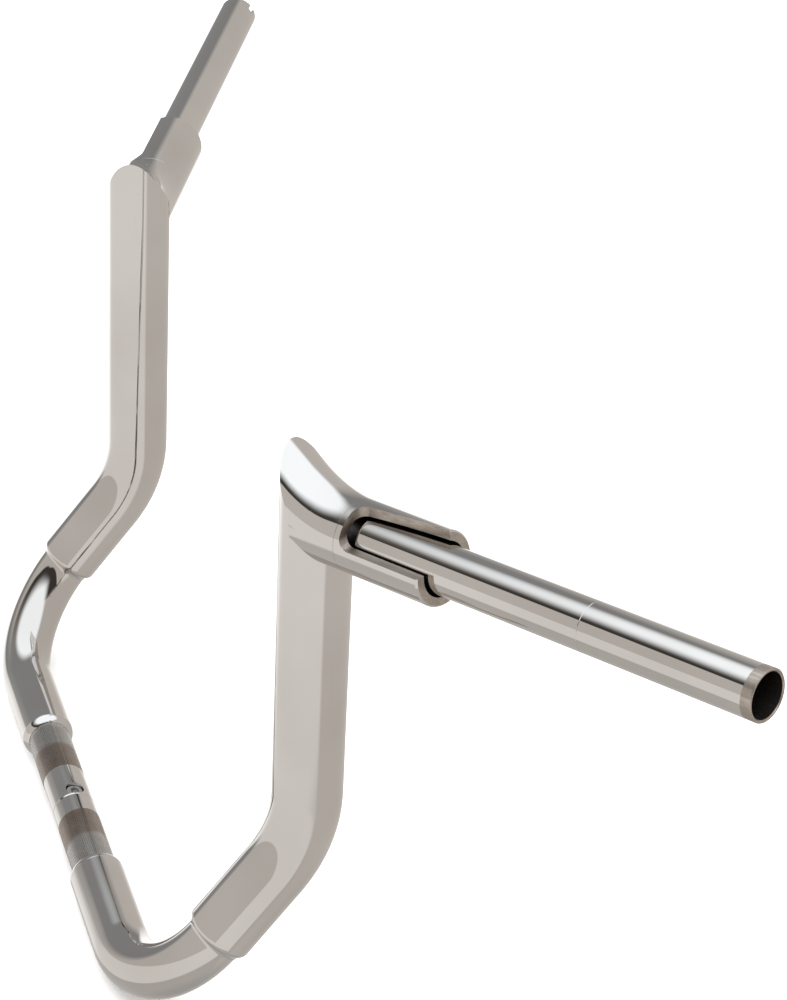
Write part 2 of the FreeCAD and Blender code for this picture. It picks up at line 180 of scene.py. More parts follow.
class Tree:
    """The node tree of a material or of the world."""

    def __init__(self, owner):
        owner.use_nodes = True
        self.nodes = owner.node_tree.nodes
        self.links = owner.node_tree.links
        self.nodes.clear()

    def node(self, kind, settings=None, inputs=(), out=0):
        """Adds a node: its settings, then its sockets. Returns the output asked for."""
        made = self.nodes.new(kind)
        for name, value in (settings or {}).items():
            if name == "stops":
                self.set_stops(made.color_ramp, value)
            else:
                setattr(made, name, value)
        pairs = inputs.items() if isinstance(inputs, dict) else enumerate(inputs)
        for name, value in pairs:
            if isinstance(value, Value):
                self.links.new(value.socket, made.inputs[name])
            else:
                made.inputs[name].default_value = value
        return Value(self, made.outputs[out]) if made.outputs else made

    @staticmethod
    def set_stops(ramp, stops):
        """Fills a colour ramp, which starts with two stops, with grey levels."""
        for _ in stops[2:]:
            ramp.elements.new(0.5)
        for element, (position, level) in zip(ramp.elements, stops):
            element.position = position
            element.color = (level, level, level, 1)

    def mix(self, factor, first, second):
        """Between two colours."""
        return self.node("ShaderNodeMix", {"data_type": "RGBA"},
                         {MIX_FACTOR: factor, MIX_FIRST: first, MIX_SECOND: second}, out=MIX_RESULT)

    def split(self, vector):
        """The three parts of a vector."""
        made = self.nodes.new("ShaderNodeSeparateXYZ")
        self.links.new(vector.socket, made.inputs[0])
        return [Value(self, part) for part in made.outputs]


def tone(level, warmth=0.0):
    """A near-neutral colour from its display level, 0 to 255, and how far it leans to brown."""
    light = (level / 255) ** 2.2
    return (light * (1 + warmth), light, light * (1 - warmth), 1)


print("tone 128 is", [round(c, 3) for c in tone(128)])

# %% [markdown]
# ## Finishes
#
# Show chrome is a mirror, so most of what the eye calls its colour is the studio. Three small
# things keep it from looking like a computer's mirror: the plating is a touch darker and yellower
# in some places, polishing leaves hairlines that run along the tube, and a thumb or a cloth leaves
# faint smears that are a little less glossy. Hairlines are made by squeezing a noise along one
# direction. Patterns are read on Object coordinates. The two halves are mirror images, so the
# lengthwise directions are reckoned from the distance to the middle, and one finish serves both
# sides.

# %% Helpers for the finishes
HAIRLINES = (14, 900)         # a squeezed noise's cells per metre, along the grain and across it
SCRATCHES = (9, 420)


def place(tree):
    """Object coordinates with both halves folded onto the right one."""
    x, y, z = tree.split(tree.node("ShaderNodeTexCoord", out="Object"))
    return tree.node("ShaderNodeCombineXYZ", {}, [x.math("ABSOLUTE"), y, z])


def along_way(tree, coords, way, along, across):
    """Coordinates squeezed along one direction, for hairlines and tool marks."""
    turn = way.to_track_quat("X", "Z").to_matrix().inverted().to_euler()
    turned_coords = tree.node("ShaderNodeMapping", {}, {"Vector": coords, "Rotation": turn})
    scale = (along, across, across)
    return tree.node("ShaderNodeMapping", {}, {"Vector": turned_coords, "Scale": scale})


def noise(tree, coords, scale, detail=2.0, roughness=0.5):
    return tree.node("ShaderNodeTexNoise", {},
                     {"Vector": coords, "Scale": scale, "Detail": detail, "Roughness": roughness})


def finish_with(tree, colour, metallic, roughness, height, bump=0.1, bump_mm=0.1):
    """Joins the varying values to one shader and its output."""
    relief = tree.node("ShaderNodeBump", {},
                       {"Strength": bump, "Distance": bump_mm * MM, "Height": height})
    shader = tree.node("ShaderNodeBsdfPrincipled", {},
                       {"Base Color": colour, "Metallic": metallic, "Roughness": roughness,
                        "Normal": relief})
    tree.node("ShaderNodeOutputMaterial", {}, {"Surface": shader})


print("a hairline is", round(HAIRLINES[1] / HAIRLINES[0]), "times as long as it is wide")

# %% Chrome for the tubes, one grain direction each
CHROME_PALE = (0.660, 0.640, 0.618, 1)
CHROME_DEEP = (0.585, 0.560, 0.532, 1)
SCRATCH_LEAN = Vector((0.07, 0.1, 0.05))   # stray scratches run a little off the grain


def chrome(name, way, hairlines=0.5, gloss=0.03):
    """Bright plating with hairlines along one direction, smears and faint clouds."""
    made = bpy.data.materials.new(name)
    tree = Tree(made)
    coords = place(tree)
    clouds = noise(tree, coords, 9.0, 3.0)
    lines = noise(tree, along_way(tree, coords, way, *HAIRLINES), 1.0, 2.0)
    smears = noise(tree, coords, 34.0, 4.0, 0.6)
    scratch = noise(tree, along_way(tree, coords, way + SCRATCH_LEAN, *SCRATCHES), 1.0, 1.0)
    fine_scratch = scratch.step(0.73, 0.78)
    colour = tree.mix(clouds.step(0.35, 0.75), CHROME_PALE, CHROME_DEEP)
    dulled = smears.step(0.5, 0.8) * 0.05 + lines.step(0.45, 0.8) * (0.06 * hairlines)
    roughness = dulled + fine_scratch * 0.12 + gloss
    height = lines * hairlines + smears * 0.4 - fine_scratch * 0.5
    finish_with(tree, colour, 1.0, roughness, height, bump=0.05, bump_mm=0.05)
    return made


leg_chrome = chrome("leg_chrome", LEG)
riser_chrome = chrome("riser_chrome", RISER)
base_chrome = chrome("base_chrome", Vector((1, 0, 0)))
hand_chrome = chrome("hand_chrome", HAND, hairlines=0.8, gloss=0.02)
print("chrome finishes:", [m.name for m in (leg_chrome, riser_chrome, base_chrome, hand_chrome)])

# %% [markdown]
# The knurled bands are rolled before plating, and the rolling leaves the steel between the lands
# duller. The plating is thin on them, so the half nearest the middle has a brown tinge. The grooves
# lie deeper than the lands, so the finish tells them apart by the distance from the tube's axis,
# and needs no pattern of its own.

# %% Knurled chrome
LAND_R = CLAMP_R + 0.2 * MM
GROOVE_TOP, GROOVE_FLOOR = LAND_R - 0.04 * MM, LAND_R - 0.30 * MM
BAND_STARTS = (22.6 * MM, 23.2 * MM)    # each fades in or out between two distances from the middle
BAND_STOPS = (69.0 * MM, 68.2 * MM)
TINGE_STOPS = (53 * MM, 48 * MM)
TINGE_WANDERS = 7 * MM
GROOVE_PALE = (0.36, 0.33, 0.30, 1)
GROOVE_DEEP = (0.22, 0.20, 0.18, 1)
TINGE_BROWN = (0.36, 0.27, 0.21, 1)


def knurled_chrome():
    made = bpy.data.materials.new("knurled_chrome")
    tree = Tree(made)
    coords = place(tree)
    x, y, z = tree.split(coords)
    from_axis = (y * y + z * z).math("SQRT")
    band = x.step(*BAND_STARTS) * x.step(*BAND_STOPS)
    grime = noise(tree, coords, 160.0, 4.0, 0.6)
    clouds = noise(tree, coords, 24.0, 3.0)
    dull = band * from_axis.step(GROOVE_TOP, GROOVE_FLOOR)
    plain = tree.mix(clouds.step(0.35, 0.75), CHROME_PALE, CHROME_DEEP)
    worn = tree.mix(grime.step(0.35, 0.7), GROOVE_PALE, GROOVE_DEEP)
    thin = band * (x + clouds * TINGE_WANDERS).step(*TINGE_STOPS)
    colour = tree.mix(dull, tree.mix(thin * 0.8, plain, TINGE_BROWN), worn)
    roughness = clouds.step(0.4, 0.8) * 0.05 + band * 0.10 + dull * 0.16 + grime * 0.04 + 0.03
    finish_with(tree, colour, 1.0, roughness, grime, bump=0.08, bump_mm=0.06)
    return made


middle_chrome = knurled_chrome()
print(middle_chrome.name, "has", len(middle_chrome.node_tree.nodes), "nodes")

# %% [markdown]
# ## Machined and bare steel
#
# The wiring window was milled after plating, and so was the hand tube's end faced off: both show
# bare steel of a tan grey, with the fine straight lines that the cutter left along its path. The
# lines are a squeezed noise again, much finer than the hairlines. Chrome stops at the cut, so
# these faces get their own finish. The bores and the pieces inside are darker and duller.

# %% Bare steel
def bare_steel(name, pale, deep, way, lines_per_m, polish):
    made = bpy.data.materials.new(name)
    tree = Tree(made)
    coords = place(tree)
    marks = noise(tree, along_way(tree, coords, way, 20, lines_per_m), 1.0, 3.0, 0.7)
    stain = noise(tree, coords, 75.0, 4.0, 0.6)
    colour = tree.mix(marks.step(0.3, 0.7) * 0.6 + stain.step(0.35, 0.8) * 0.4, pale, deep)
    roughness = marks * 0.2 + stain * 0.1 + polish
    finish_with(tree, colour, 1.0, roughness, marks, bump=0.35, bump_mm=0.08)
    return made


ALONG_X = Vector((1, 0, 0))
ALONG_Y = Vector((0, 1, 0))
milled_steel = bare_steel("milled_steel", (0.56, 0.505, 0.45, 1), (0.30, 0.255, 0.215, 1),
                          HAND, 1400, 0.20)
inner_steel = bare_steel("inner_steel", (0.32, 0.29, 0.27, 1), (0.13, 0.115, 0.105, 1),
                         HAND, 900, 0.24)
hidden_steel = bare_steel("hidden_steel", (0.40, 0.39, 0.38, 1), (0.22, 0.21, 0.20, 1),
                          ALONG_X, 700, 0.25)
screw_steel = bare_steel("screw_steel_finish", (0.62, 0.61, 0.60, 1), (0.42, 0.41, 0.40, 1),
                         ALONG_Y, 1200, 0.16)
print("bare finishes:", [m.name for m in (milled_steel, inner_steel, hidden_steel, screw_steel)])

# %% [markdown]
# ## Making a piece out of a mesh
#
# Every new piece goes the same way: its faces are turned outwards, it becomes a mesh, it is shaded
# smooth except across real edges, it is hung on the frame's body, it takes its solid's name with
# _dressed added, and that solid is hidden. The left half is the same mesh mirrored, so one function
# makes both. Each piece also prints how far its box is from its solid's, which shows a slip at
# once.

# %% Finishing helpers
SHARP = math.radians(28)
SAME_PLACE = 1e-6             # two corners closer than this, in metres, are one


def tidy_skin(shape):
    """Joins doubled corners and turns the faces outwards."""
    bmesh.ops.remove_doubles(shape, verts=shape.verts, dist=SAME_PLACE)
    bmesh.ops.recalc_face_normals(shape, faces=shape.faces)


def box_slip(mesh, solid):
    """The largest distance between the sides of a mesh's box and of its solid's, in mm."""
    low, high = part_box(solid)
    slips = []
    for axis in range(3):
        reach = [v.co[axis] for v in mesh.vertices]
        slips += [abs(min(reach) - low[axis]), abs(max(reach) - high[axis])]
    return max(slips) / MM


def make_piece(name, shape, finishes, stands_for, mirror=False):
    if mirror:
        bmesh.ops.scale(shape, vec=(-1, 1, 1), verts=shape.verts)
    tidy_skin(shape)
    mesh = bpy.data.meshes.new(name)
    shape.to_mesh(mesh)
    mesh.shade_smooth()
    mesh.set_sharp_from_angle(angle=SHARP)
    for finish in finishes:
        mesh.materials.append(finish)
    piece = bpy.data.objects.new(name, mesh)
    bpy.context.scene.collection.objects.link(piece)
    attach(piece, "root")
    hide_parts(stands_for)
    slip = box_slip(mesh, stands_for)
    print(f"{name}: {len(mesh.polygons)} faces, box within {slip:.3f} mm of its solid")


def make_pair(name, draw, finishes):
    """The right piece and its mirror image."""
    for side in ("right", "left"):
        shape = draw(side)
        make_piece(f"{side}_{name}_dressed", shape, finishes, f"{side}_{name}",
                   mirror=side == "left")
        shape.free()


print("edges sharper than", round(math.degrees(SHARP)), "degrees stay crisp")

# %% [markdown]
# ## Bent tubes
#
# A bent tube could be a curve with a round bevel, but then its wall and its two ends have no
# thickness. Here a ring of edges is pulled along the straight run, spun round the bend's centre,
# and pulled on again. That is the outside, and solidify gives it its wall inwards. Ninety-six
# facets round the tube keep its outline and its reflections smooth.

# %% Rings, runs and bends
ROUND = 96
BEND_STEP = 2                 # a bend takes one step for every two degrees
FEWEST_STEPS = 12


def ring(shape, centre, way, radius):
    turn = way.to_track_quat("Z", "Y").to_matrix().to_4x4()
    made = bmesh.ops.create_circle(shape, cap_ends=False, segments=ROUND, radius=radius,
                                   matrix=Matrix.Translation(centre) @ turn)
    return list({e for v in made["verts"] for e in v.link_edges})


def last_ring(made):
    """The newest ring of edges among what an operator made."""
    fresh = {g for g in made if isinstance(g, bmesh.types.BMVert)}
    return [g for g in made if isinstance(g, bmesh.types.BMEdge) and set(g.verts) <= fresh]


def run(shape, edges, move, pieces):
    """Pulls a ring straight on, in a few pieces."""
    for _ in range(pieces):
        made = bmesh.ops.extrude_edge_only(shape, edges=edges)["geom"]
        edges = last_ring(made)
        verts = list({v for e in edges for v in e.verts})
        bmesh.ops.translate(shape, verts=verts, vec=move / pieces)
    return edges


def bend(shape, edges, centre, axis, angle):
    """Swings a ring round the bend's centre."""
    steps = max(FEWEST_STEPS, round(math.degrees(angle) / BEND_STEP))
    made = bmesh.ops.spin(shape, geom=edges, cent=centre, axis=axis, angle=angle, steps=steps,
                          use_merge=False, use_duplicate=False)
    return last_ring(made["geom_last"])


print("a facet of the riser is", round(math.tau * RISER_R / ROUND / MM, 2), "mm wide")

# %% A tube with one bend
def skin(shape, first, corner, last, bend_radius, radius):
    """The outside of a tube: straight, bend, straight."""
    back, on = (first - corner).normalized(), (last - corner).normalized()
    half = back.angle(on) / 2
    leave = corner + back * (bend_radius / math.tan(half))
    join = corner + on * (bend_radius / math.tan(half))
    centre = corner + (back + on).normalized() * (bend_radius / math.sin(half))
    axis = (-back).cross(on).normalized()
    edges = run(shape, ring(shape, first, -back, radius), leave - first, pieces=3)
    edges = bend(shape, edges, centre, axis, math.pi - 2 * half)
    run(shape, edges, last - join, pieces=4)


def bent_tube(first, corner, last, bend_radius, outer, inner):
    """The outside of the tube, given its wall inwards."""
    shape = bmesh.new()
    skin(shape, first, corner, last, bend_radius, outer)
    tidy_skin(shape)
    bmesh.ops.solidify(shape, geom=shape.faces, thickness=outer - inner)
    return shape


print("the riser turns", round(math.degrees(LEG.angle(RISER)), 1), "degrees at the knee")

# %% Lower bends and risers
RING_LEN = 6.0 * MM           # both weld rings are this long
SHOULDER_X = 68.5 * MM        # where the weld ring starts on the middle tube
LEG_RING_AT = 60.0 * MM       # where the leg's weld ring starts, from the lower corner
OVERLAP = 22.0 * MM           # how far one tube reaches into the next
TOP_BELOW = 34.0 * MM         # the pointed top starts this far under the hand tube's axis


def draw_lower_bend(side):
    first = Vector((SHOULDER_X + RING_LEN, 0, 0))
    last = CORNER + LEG * (LEG_RING_AT + RING_LEN + OVERLAP)
    return bent_tube(first, CORNER, last, LOWER_BEND_RAD, BEND_R, CLAMP_R + GAP)


def draw_riser(side):
    first = CORNER + LEG * (LEG_RING_AT + RING_LEN)
    last = HEAD - RISER * TOP_BELOW
    return bent_tube(first, KNEE, last, KNEE_BEND_RAD, RISER_R, BEND_R + GAP)


make_pair("lower_bend", draw_lower_bend, [leg_chrome])
make_pair("riser_tube", draw_riser, [riser_chrome])

# %% [markdown]
# ## Weld rings
#
# Where two tube sizes meet, the welder builds up a ring and grinds it to a smooth shoulder before
# plating. A ring is a lathe shape, so it is a small closed outline spun once round its axis. The
# curved part of the outline is a few points on an arc.

# %% Spinning an outline
def turned(outline, start, way, steps=ROUND):
    """Spins a closed outline of (along, out) points round the line from start along way."""
    shape = bmesh.new()
    upright = Vector((0, 0, 1)) if abs(way.z) < 0.9 else Vector((0, 1, 0))
    side = way.cross(upright).normalized()
    verts = [shape.verts.new(start + way * along + side * out) for along, out in outline]
    edges = [shape.edges.new((v, w)) for v, w in zip(verts, verts[1:] + verts[:1])]
    bmesh.ops.spin(shape, geom=verts + edges, cent=start, axis=way, angle=2 * math.pi, steps=steps,
                   use_merge=True)
    tidy_skin(shape)
    return shape


def arc_through(first, middle, last, count):
    """Points on the circle through three points, the ends among them."""
    (ax, ay), (bx, by), (cx, cy) = first, middle, last
    d = 2 * (ax * (by - cy) + bx * (cy - ay) + cx * (ay - by))
    a2, b2, c2 = ax * ax + ay * ay, bx * bx + by * by, cx * cx + cy * cy
    ux = (a2 * (by - cy) + b2 * (cy - ay) + c2 * (ay - by)) / d
    uy = (a2 * (cx - bx) + b2 * (ax - cx) + c2 * (bx - ax)) / d
    radius = math.hypot(ax - ux, ay - uy)
    begin, end = math.atan2(ay - uy, ax - ux), math.atan2(cy - uy, cx - ux)
    span = (end - begin + math.pi) % (2 * math.pi) - math.pi
    angles = [begin + span * i / count for i in range(count + 1)]
    return [(ux + radius * math.cos(t), uy + radius * math.sin(t)) for t in angles]


print("a full turn takes", ROUND, "steps")

# %% Shoulder rings and leg rings
TOE = 0.25 * MM               # height of a weld ring's thin end
RING_EASE = 0.2 * MM          # room inside the leg's ring for the end of the bend
CROWN_AT, CROWN_SHORT = 0.35, 0.28   # a third along, the shoulder lacks a quarter of its rise


def draw_shoulder_ring(side):
    inner, low = CLAMP_R + GAP, CLAMP_R + TOE
    crown = (RING_LEN * CROWN_AT, BEND_R - (BEND_R - low) * CROWN_SHORT)
    curve = arc_through((0, low), crown, (RING_LEN, BEND_R), 10)
    return turned([(0, inner), *curve, (RING_LEN, inner)], Vector((SHOULDER_X, 0, 0)), ALONG_X)


def draw_leg_ring(side):
    """An even double curve: hollow at the thin end, rounded at the thick one."""
    inner = BEND_R + RING_EASE
    low = inner + TOE
    rise = RISER_R - low
    bulge = (RING_LEN ** 2 + rise ** 2) / (4 * rise)
    turn = math.asin(RING_LEN / 2 / bulge) / 2
    sag, reach = bulge * (1 - math.cos(turn)), bulge * math.sin(turn)
    half = (RING_LEN / 2, low + rise / 2)
    hollow = arc_through((0, low), (reach, low + sag), half, 7)
    crown = arc_through(half, (RING_LEN - reach, RISER_R - sag), (RING_LEN, RISER_R), 7)
    outline = [(0, inner), *hollow, *crown[1:], (RING_LEN, inner)]
    return turned(outline, CORNER + LEG * LEG_RING_AT, LEG)


make_pair("shoulder_ring", draw_shoulder_ring, [base_chrome])
make_pair("leg_ring", draw_leg_ring, [leg_chrome])

# %% [markdown]
# ## Hand tubes
#
# The hand tube is thin and open at its outer end. Its end face is bare and its bore is dark. On
# the clutch side the last few millimetres of its outside are bare too, where the plating rack held
# it, and a shallow line is scribed round it about halfway, to set the grip by. The tube is spun
# from one outline, and the faces are sorted to their finishes by where they lie. The throttle
# side's end has a small slot, which is cut out with a boolean.

# %% Cutting one shape with another
def carve(shape, cutter):
    """What is left of the shape after the cutter is taken away, as a new bmesh."""
    pair = []
    for name, part in (("work", shape), ("tool", cutter)):
        part.normal_update()
        mesh = bpy.data.meshes.new(name)
        part.to_mesh(mesh)
        pair.append(bpy.data.objects.new(name, mesh))
        bpy.context.scene.collection.objects.link(pair[-1])
    work, tool = pair
    cut = work.modifiers.new("cut", "BOOLEAN")
    cut.operation = "DIFFERENCE"
    cut.solver = "EXACT"
    cut.object = tool
    bpy.context.view_layer.update()
    left = bmesh.new()
    left.from_object(work, bpy.context.evaluated_depsgraph_get())
    for thing in pair:
        mesh = thing.data
        bpy.data.objects.remove(thing)
        bpy.data.meshes.remove(mesh)
    print("a cut leaves", len(left.faces), "of", len(shape.faces), "faces")
    return left


def in_hand(point):
    """How far a point lies along the hand tube's axis, and how far from it."""
    from_head = point - HEAD
    along = from_head.dot(HAND)
    return along, (from_head - HAND * along).length


# %% Hand tube
GRIP_START = 38.5 * MM
SEAT_LEN, SEAT_DEPTH = 24.0 * MM, 0.25 * MM   # bored out where the carrier's plug sits
END_EDGE = 0.5 * MM
LIP = 1.2 * MM                # bevel at the inner end
SCRIBE_AT, SCRIBE_HALF, SCRIBE_DEPTH = 180.0 * MM, 0.2 * MM, 0.12 * MM
BARE_END = 5.5 * MM
RIM_AT = GRIP_LEN - BARE_END
SLOT_WIDTH, SLOT_DEPTH = 4 * MM, 6 * MM
SLOT_TURN = math.radians(-60)  # turned back from straight up
SLOT_PROUD, SLOT_TALL = 8 * MM, 20 * MM   # its cutter's reach past the tube's end, and its height
BORE_UNDER = GRIP_R - 0.9 * GRIP_WALL     # faces nearer the axis than this are in the bore


def slot_cutter():
    cutter = bmesh.new()
    bmesh.ops.create_cube(cutter, size=1)
    size = (SLOT_DEPTH + SLOT_PROUD, SLOT_WIDTH, SLOT_TALL)
    bmesh.ops.scale(cutter, vec=size, verts=cutter.verts)
    outward = UPWARD * math.cos(SLOT_TURN) + FORWARD * math.sin(SLOT_TURN)
    turn = Matrix((HAND, outward.cross(HAND), outward)).transposed()
    bmesh.ops.transform(cutter, matrix=turn.to_4x4(), verts=cutter.verts)
    middle = HEAD + HAND * (GRIP_LEN + (SLOT_PROUD - SLOT_DEPTH) / 2) + outward * SLOT_TALL / 2
    bmesh.ops.translate(cutter, verts=cutter.verts, vec=middle)
    return cutter


def draw_grip_tube(side):
    inner = GRIP_R - GRIP_WALL
    scribed = [(SCRIBE_AT + SCRIBE_HALF, GRIP_R), (SCRIBE_AT, GRIP_R - SCRIBE_DEPTH),
               (SCRIBE_AT - SCRIBE_HALF, GRIP_R)]
    seat_end = GRIP_START + SEAT_LEN
    bore = [(GRIP_START, inner + SEAT_DEPTH), (seat_end, inner + SEAT_DEPTH), (seat_end, inner)]
    end = [(GRIP_LEN - END_EDGE, inner), (GRIP_LEN, inner + END_EDGE),
           (GRIP_LEN, GRIP_R - END_EDGE), (GRIP_LEN - END_EDGE, GRIP_R)]
    outside = [(RIM_AT, GRIP_R), *(scribed if side == "left" else []),
               (GRIP_START + LIP, GRIP_R), (GRIP_START, GRIP_R - LIP)]
    shape = turned([*bore, *end, *outside], HEAD, HAND)
    if side == "right":
        shape = carve(shape, slot_cutter())
    bare_from = RIM_AT if side == "left" else GRIP_LEN - END_EDGE
    for face in shape.faces:
        along, out = in_hand(face.calc_center_median())
        if out < BORE_UNDER:
            face.material_index = 2
        elif along > bare_from or along < GRIP_START + LIP:
            face.material_index = 1
    return shape


make_pair("grip_tube", draw_grip_tube, [hand_chrome, milled_steel, inner_steel])

# %% [markdown]
# ## Collars
#
# The collar is a turned sleeve with a quarter of its wall milled away for the switch wires: in
# front and above on the left, in front and below on the right. It is spun as a sleeve, with a
# hair-fine groove left at its root where it is welded on, and a block with two rounded corners is
# taken out of it. Faces that run right through the wall are cut faces: they are bare steel, and
# the rest is plated.

# %% The window's block
COLLAR_ROOT, COLLAR_END = 31.0 * MM, 87.2 * MM
WINDOW_START = 34.6 * MM      # a window runs from here to the collar's open end
WINDOW_LEVEL = 2.4 * MM       # its straight edge is this far off the axis
WINDOW_CORNER = 6.0 * MM
PROUD = 5 * MM                # how far the block stands out of the collar
low_turn = math.radians(13.0)  # the right window is turned forward and down
HIGH = UPWARD * math.cos(low_turn) + FORWARD * math.sin(low_turn)
FRONT = FORWARD * math.cos(low_turn) - UPWARD * math.sin(low_turn)
# the slanted edge's way, the straight edge's way, the slant's depth at the open end and its angle
WINDOWS = {"left": (FORWARD, UPWARD, 5.6 * MM, math.radians(8.2)),
           "right": (HIGH, FRONT, 12.0 * MM, math.radians(9.7))}


def window_block(side):
    """A cube moved out to the window's sides, with its two inner corners rounded."""
    slant_way, level_way, depth, slant = WINDOWS[side]
    block = bmesh.new()
    bmesh.ops.create_cube(block, size=2)
    far, wide = COLLAR_END + PROUD, COLLAR_R + PROUD
    inner_sides = {}
    for v in block.verts:
        root, slanted, level = v.co.x < 0, v.co.y < 0, v.co.z < 0
        along = WINDOW_START if root else far
        slant_out = (COLLAR_END - along) * math.tan(slant) - depth if slanted else wide
        level_out = WINDOW_LEVEL if level else wide
        v.co = HEAD + HAND * along + slant_way * slant_out + level_way * level_out
        inner_sides[v] = (root, slanted, level)
    rounded = []
    for edge in block.edges:
        root, slanted, level = (all(inner_sides[v][i] for v in edge.verts) for i in range(3))
        if root and (slanted or level):
            rounded.append(edge)
    if HAND.cross(slant_way).dot(level_way) < 0:
        bmesh.ops.reverse_faces(block, faces=block.faces)
    block.normal_update()
    bmesh.ops.bevel(block, geom=rounded, offset=WINDOW_CORNER, offset_type="OFFSET", segments=8,
                    profile=0.5, affect="EDGES", material=-1, clamp_overlap=True)
    return block


print("the windows are", round((COLLAR_END - WINDOW_START) / MM, 1), "mm long")

# %% Collar
COLLAR_ROUND = 128
COLLAR_EDGE, ROOT_GROOVE = 1.0 * MM, 0.2 * MM
CUT_REACH = 2 * MM            # a face that reaches further in or out than this is a cut one
BORE_SLACK = 0.2 * MM


def draw_collar(side):
    outline = [(COLLAR_ROOT, COLLAR_BORE_R), (COLLAR_END, COLLAR_BORE_R),
               (COLLAR_END, COLLAR_R - COLLAR_EDGE), (COLLAR_END - COLLAR_EDGE, COLLAR_R),
               (COLLAR_ROOT + ROOT_GROOVE, COLLAR_R), (COLLAR_ROOT, COLLAR_R - ROOT_GROOVE)]
    shape = carve(turned(outline, HEAD, HAND, steps=COLLAR_ROUND), window_block(side))
    for face in shape.faces:
        reach = [in_hand(v.co)[1] for v in face.verts]
        if max(reach) - min(reach) > CUT_REACH:
            face.material_index = 1
        elif max(reach) < COLLAR_BORE_R + BORE_SLACK:
            face.material_index = 2
    return shape


make_pair("collar", draw_collar, [hand_chrome, milled_steel, inner_steel])

# %% [markdown]
# ## Solids that keep their shape
#
# The pointed tops, the knurled middle tubes, the carriers, the joining plug and its screw are
# already right to a hundredth of a millimetre, so they stay as they are and only their finish is
# set.

# %% Finishes on the kept solids
PAIRED = {"pointed_top": riser_chrome, "clamp_tube": middle_chrome, "grip_carrier": hidden_steel}
kept = {f"{side}_{name}": finish for name, finish in PAIRED.items() for side in ("right", "left")}
kept["centre_spigot"] = hidden_steel
kept["centre_screw"] = screw_steel
for name, finish in kept.items():
    for material_slot in nodes[name].material_slots:
        material_slot.material = finish
print("kept solids:", sorted(kept))

# %% [markdown]
# ## The studio
#
# Chrome shows the room, so the room is designed for the bar. Overhead hangs a very wide white
# cloth. The walls and the table are warm grey. Between the cloth and the front walls there is a
# dark gap, which draws the crisp dark lines along the tubes that make metal look like metal. On
# the bar's right stands a grey panel, and low in front of it lies a white reflector. All of that
# is painted on the world by direction: the compass angle and the height of the view direction are
# worked out, and each thing is a soft-edged region of them.

# %% Directions in the studio
world = bpy.data.worlds.new("studio")
bpy.context.scene.world = world
sky = Tree(world)
x, y, z = sky.split(sky.node("ShaderNodeTexCoord", out="Generated"))
# the compass runs from 0 behind, over 0.25 on the left and 0.5 ahead, to 0.75 on the right
compass = x.math("ARCTAN2", y) * (1 / (2 * math.pi)) + 0.5
height = z.math("ARCSINE") * (180 / math.pi)


def around(*stops):
    """A value that changes with the compass: stops of (degrees from straight ahead, value)."""
    span = max(abs(value) for _, value in stops)
    ramp = [((angle + 180) / 360, value / span) for angle, value in stops]
    return sky.node("ShaderNodeValToRGB", {"stops": ramp}, {"Fac": compass}) * span


print("nodes that work out a direction:", len(sky.nodes))

# %% Table and walls
TABLE_FAR, TABLE_NEAR = tone(196, 0.03), tone(160, 0.045)
# the last of these tones is a painted shadow of the bar on the table straight below it
TABLE_BESIDE, TABLE_IN_BAR_SHADOW = tone(167, 0.06), tone(148, 0.02)
WALL = tone(168, 0.05)

beside = around((-180, 1), (-106, 1), (-98, 0), (105, 0), (125, 1), (180, 1))
table = sky.mix(height.step(-37, -33), TABLE_NEAR, TABLE_FAR)
table = sky.mix(beside, table, TABLE_BESIDE)
# straight below the bar the table is darker: a painted shadow of the bar, seen in the chrome
table = sky.mix(height.step(-85, -50), TABLE_IN_BAR_SHADOW, table)
room = sky.mix(height.step(-2.6, -1.2), table, WALL)
print("brightest table tone:", [round(c, 3) for c in TABLE_FAR])

# %% Dark gap, panel, cloth and reflector
GAP_DARK, PANEL_GREY = tone(54, 0.12), tone(122, -0.01)
CLOTH_WHITE, REFLECTOR_WHITE = tone(248, -0.05), tone(252)

gap_low = around((-180, 40), (-100, 10), (-60, 19.5), (-17, 31), (20, 30), (57, 19), (180, 19))
gap_here = around((-180, 0), (-106, 0), (-97, 1), (25, 1), (60, 0.35), (75, 0), (180, 0))
gap = gap_here * (height - gap_low).step(-1.0, 1.0)
room = sky.mix(gap, room, GAP_DARK)

panel_here = around((-180, 0), (46, 0), (56, 1), (108, 1), (122, 0), (180, 0))
panel = panel_here * height.step(-14, -6)
room = sky.mix(panel, room, PANEL_GREY)

cloth_edge = around((-180, 47), (-140, 43), (-100, 41), (-60, 38), (-30, 44), (5, 47), (30, 46),
                    (55, 44), (120, 43), (150, 48), (180, 47))
cloth_soft = around((-180, 5), (-110, 6), (-95, 8), (-60, 8), (-30, 10), (10, 13), (50, 9),
                    (180, 5))
cloth = ((height - cloth_edge) / cloth_soft).step(-1.0, 1.0)
room = sky.mix(cloth, room, CLOTH_WHITE)

reflector_here = around((-180, 0), (50, 0), (80, 1), (100, 1), (128, 0), (180, 0))
reflector = reflector_here * height.step(-42, -24) * height.step(-5, -14)
room = sky.mix(reflector * 0.9, room, REFLECTOR_WHITE)
print("nodes in the painted room:", len(sky.nodes))

# %% [markdown]
# The painted room is only for reflections. Rays that light the floor find a plain bright world, so
# that the sheet comes out even, and where the view passes the sheet's edge it finds plain white.
# The plating swallows part of the light, so the room is made brighter by that share, and a tone
# of the room is then seen in the chrome as it was written.

# %% World
PLATING = 0.63                # share of the light that the plating gives back
PLAIN_WHITE = (1, 1, 1, 1)


def background(colour, strength):
    return sky.node("ShaderNodeBackground", {}, {"Color": colour, "Strength": strength})


